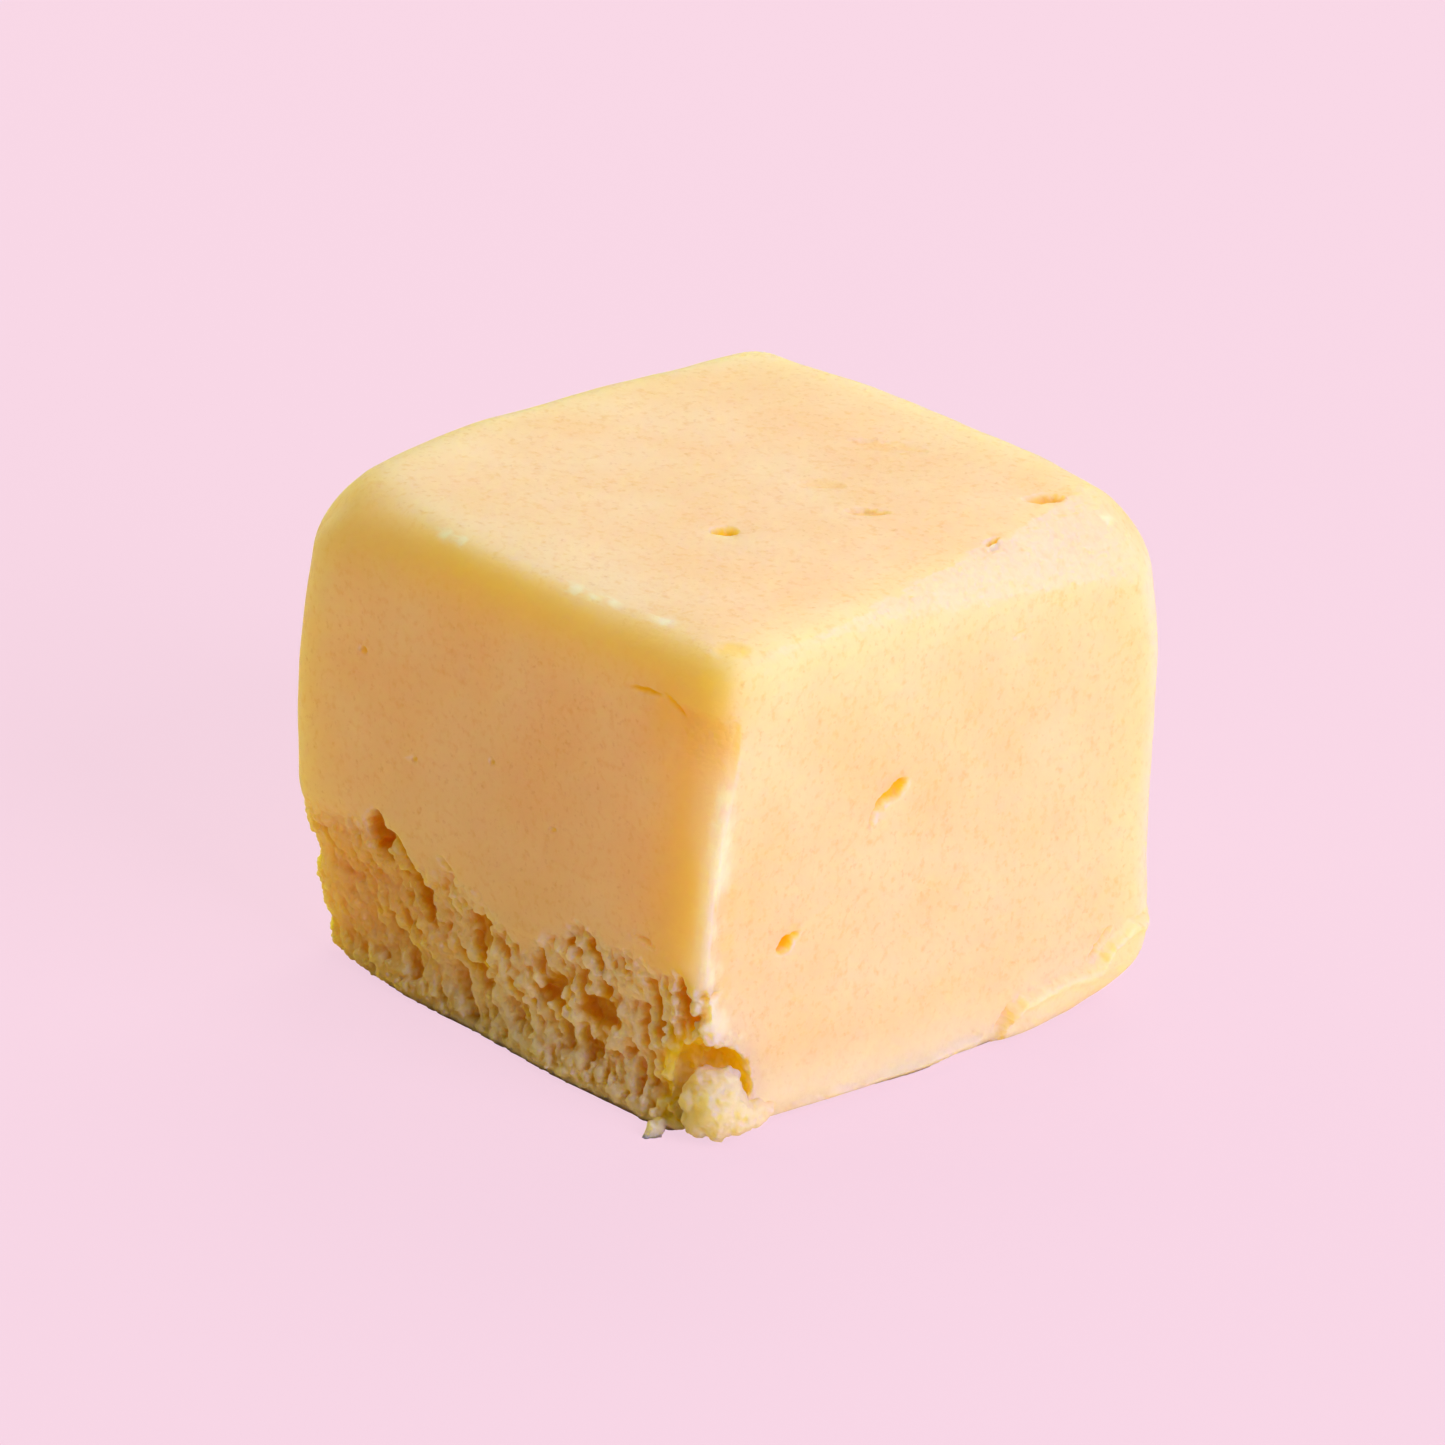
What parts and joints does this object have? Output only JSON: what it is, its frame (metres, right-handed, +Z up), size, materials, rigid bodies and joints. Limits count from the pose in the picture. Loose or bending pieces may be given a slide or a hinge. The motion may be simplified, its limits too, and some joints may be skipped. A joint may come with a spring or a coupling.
{
  "type": "fudge cube",
  "caption": "Hand-cut cube of butter fudge with worn edges, small pits and a crumbly torn patch low on one side.",
  "frame": {"origin": "middle of the part's box, on the plane of the flat base it rests on", "axes": "+Z up, -Y the side with the torn lower patch, +X the smooth side with the small crescent pit"},
  "size_m": [0.0276, 0.028, 0.0228],
  "materials": {
    "fudge": "matte, slightly waxy"
  },
  "bodies": {
    "root": {"fudge": "fudge"}
  },
  "joints": []
}
